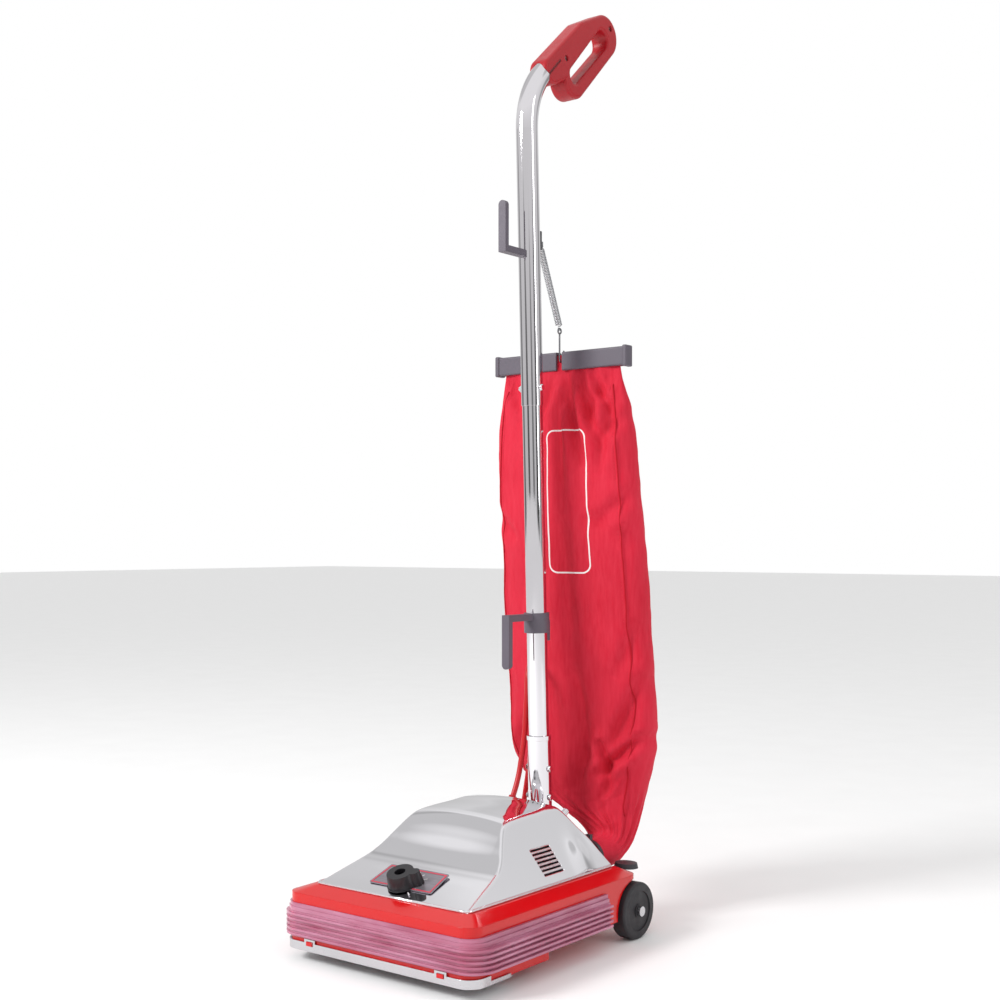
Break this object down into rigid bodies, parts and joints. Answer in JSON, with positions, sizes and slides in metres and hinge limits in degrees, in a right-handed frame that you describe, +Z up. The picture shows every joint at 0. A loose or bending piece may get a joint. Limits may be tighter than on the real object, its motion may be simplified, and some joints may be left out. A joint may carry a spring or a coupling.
{
  "type": "upright vacuum cleaner",
  "caption": "Upright vacuum cleaner with a cast base, chromed hood, tube handle with a closed grip, cloth bag, brush roll and a coiled mains cord.",
  "frame": {"origin": "on the floor, under the middle of the machine's width and depth, leaving out the loose cord", "axes": "+Z up along the handle, -Y towards the front of the machine, +X towards the side with the exhaust spigot and the pedal"},
  "size_m": [0.5289, 0.659, 1.281],
  "materials": {
    "base_housing": "satin red enamel",
    "furniture_guard": "clear ribbed vinyl, tinted by the red behind it",
    "bottom_plate": "plain pressed steel",
    "plate_latch_left": "zinc plated",
    "plate_latch_right": "zinc plated",
    "rear_wheel_right": "matt black",
    "rear_wheel_left": "matt black",
    "rear_axle": "bright steel",
    "axle_caps": "bright steel",
    "height_carriage": "zinc plated",
    "front_rollers": "matt black",
    "roller_axle": "bright steel",
    "hood": "mirror chrome plate",
    "height_knob": "satin black",
    "nameplate": "brushed, with a red border",
    "hood_screws": "plated",
    "strain_relief": "red moulded",
    "brush_roll": "bright steel",
    "bristle_strips": "black bristle",
    "brush_spindle": "bright steel",
    "brush_end_caps": "black",
    "drive_belt": "black",
    "fan_cover": "die cast",
    "fan_case": "die cast",
    "suction_fan": "cast",
    "armature_shaft": "ground steel",
    "armature_core": "lacquered laminations",
    "commutator": "copper",
    "shaft_bearings": "bright steel",
    "field_core": "laminations",
    "field_coils": "varnished copper wire",
    "rear_bracket": "die cast",
    "carbon_brushes": "carbon",
    "exhaust_duct": "black",
    "bag_clamp": "dark spring steel",
    "handle_socket": "bright chrome",
    "pivot_pin": "bright steel",
    "lower_tube": "bright chrome",
    "upper_tube": "bright chrome",
    "tube_bolts": "plated",
    "tube_nuts": "zinc plated",
    "grip_left": "satin red",
    "grip_right": "satin red",
    "grip_screws": "plated",
    "upper_cord_hook": "grey",
    "spring_bracket": "dark plated",
    "bag_spring": "bright spring wire",
    "bag_hook": "bright wire",
    "bag_clip_right": "grey",
    "bag_clip_left": "grey",
    "lower_cord_hook": "grey",
    "outer_bag": "coated red cloth",
    "paper_bag": "filter paper",
    "release_pedal": "dark grey",
    "switch_body": "black",
    "switch_rocker": "black",
    "cord_lead": "red jacket",
    "cord_coil": "red jacket",
    "cord_tail": "red jacket",
    "cord_plug": "red moulded"
  },
  "bodies": {
    "base": {"base_housing": "base_housing", "furniture_guard": "furniture_guard", "bottom_plate": "bottom_plate", "rear_axle": "rear_axle", "axle_caps": "axle_caps", "hood": "hood", "nameplate": "nameplate", "hood_screws": "hood_screws", "strain_relief": "strain_relief", "brush_end_caps": "brush_end_caps", "drive_belt": "drive_belt", "fan_cover": "fan_cover", "fan_case": "fan_case", "shaft_bearings": "shaft_bearings", "field_core": "field_core", "field_coils": "field_coils", "rear_bracket": "rear_bracket", "carbon_brushes": "carbon_brushes", "exhaust_duct": "exhaust_duct", "bag_clamp": "bag_clamp", "switch_body": "switch_body", "cord_lead": "cord_lead", "cord_coil": "cord_coil", "cord_tail": "cord_tail", "cord_plug": "cord_plug"},
    "handle": {"handle_socket": "handle_socket", "pivot_pin": "pivot_pin", "lower_tube": "lower_tube", "upper_tube": "upper_tube", "tube_bolts": "tube_bolts", "tube_nuts": "tube_nuts", "grip_left": "grip_left", "grip_right": "grip_right", "grip_screws": "grip_screws", "spring_bracket": "spring_bracket", "bag_spring": "bag_spring", "bag_hook": "bag_hook", "lower_cord_hook": "lower_cord_hook", "outer_bag": "outer_bag", "paper_bag": "paper_bag"},
    "wheel_right": {"rear_wheel_right": "rear_wheel_right"},
    "wheel_left": {"rear_wheel_left": "rear_wheel_left"},
    "carriage": {"height_carriage": "height_carriage", "roller_axle": "roller_axle"},
    "rollers": {"front_rollers": "front_rollers"},
    "knob": {"height_knob": "height_knob"},
    "brush": {"brush_roll": "brush_roll", "bristle_strips": "bristle_strips", "brush_spindle": "brush_spindle"},
    "armature": {"armature_shaft": "armature_shaft", "suction_fan": "suction_fan", "armature_core": "armature_core", "commutator": "commutator"},
    "pedal": {"release_pedal": "release_pedal"},
    "upper_hook": {"upper_cord_hook": "upper_cord_hook"},
    "clip_right": {"bag_clip_right": "bag_clip_right"},
    "clip_left": {"bag_clip_left": "bag_clip_left"},
    "latch_left": {"plate_latch_left": "plate_latch_left"},
    "latch_right": {"plate_latch_right": "plate_latch_right"},
    "rocker": {"switch_rocker": "switch_rocker"}
  },
  "joints": [
    {"name": "handle_tilt", "type": "hinge", "parent": "base", "child": "handle", "pos_m": [0, 0.0864, 0.095], "axis": [-1, 0, 0], "range_deg": [0, 80], "deforming": ["outer_bag", "paper_bag", "cord_lead", "cord_tail"]},
    {"name": "wheel_right_spin", "type": "hinge", "parent": "base", "child": "wheel_right", "pos_m": [0.145, 0.089, 0.037], "axis": [1, 0, 0], "continuous": true},
    {"name": "wheel_left_spin", "type": "hinge", "parent": "base", "child": "wheel_left", "pos_m": [-0.145, 0.089, 0.037], "axis": [1, 0, 0], "continuous": true},
    {"name": "height_slide", "type": "slide", "parent": "base", "child": "carriage", "axis": [0, 0, 1], "range_m": [0, 0.008]},
    {"name": "rollers_spin", "type": "hinge", "parent": "carriage", "child": "rollers", "pos_m": [0, -0.156, 0.015], "axis": [1, 0, 0], "continuous": true},
    {"name": "knob_turn", "type": "hinge", "parent": "base", "child": "knob", "pos_m": [0, -0.198, 0.10305], "axis": [0, -0.3604, 0.9328], "range_deg": [0, 120]},
    {"name": "brush_spin", "type": "hinge", "parent": "base", "child": "brush", "pos_m": [0, -0.214, 0.036], "axis": [1, 0, 0], "continuous": true},
    {"name": "armature_spin", "type": "hinge", "parent": "base", "child": "armature", "pos_m": [0, -0.056, 0.078], "axis": [0, 1, 0], "continuous": true},
    {"name": "pedal_press", "type": "hinge", "parent": "base", "child": "pedal", "pos_m": [0, 0.093, 0.068], "axis": [-1, 0, 0], "range_deg": [0, 12], "stiffness_Nm_per_rad": 0.5, "springref_deg": -11.46},
    {"name": "cord_hook_turn", "type": "hinge", "parent": "handle", "child": "upper_hook", "pos_m": [0, 0.05913, 0.909], "axis": [0, 1, 0], "range_deg": [0, 180]},
    {"name": "clip_right_slide", "type": "slide", "parent": "handle", "child": "clip_right", "axis": [1, 0, 0], "range_m": [0, 0.105]},
    {"name": "clip_left_slide", "type": "slide", "parent": "handle", "child": "clip_left", "axis": [-1, 0, 0], "range_m": [0, 0.105]},
    {"name": "latch_left_turn", "type": "hinge", "parent": "base", "child": "latch_left", "pos_m": [-0.1, -0.172, 0.014], "axis": [0, 0, 1], "range_deg": [0, 90]},
    {"name": "latch_right_turn", "type": "hinge", "parent": "base", "child": "latch_right", "pos_m": [0.1, -0.172, 0.014], "axis": [0, 0, 1], "range_deg": [-90, 0]},
    {"name": "switch_press", "type": "hinge", "parent": "base", "child": "rocker", "pos_m": [-0.05, 0.046, 0.1515], "axis": [1, 0, 0], "range_deg": [0, 14]}
  ],
  "couplings": [
    {"joint": "knob_turn", "follows": "height_slide", "rad_per_m": 261.8},
    {"joint": "brush_spin", "follows": "armature_spin", "ratio": 0.4667}
  ]
}
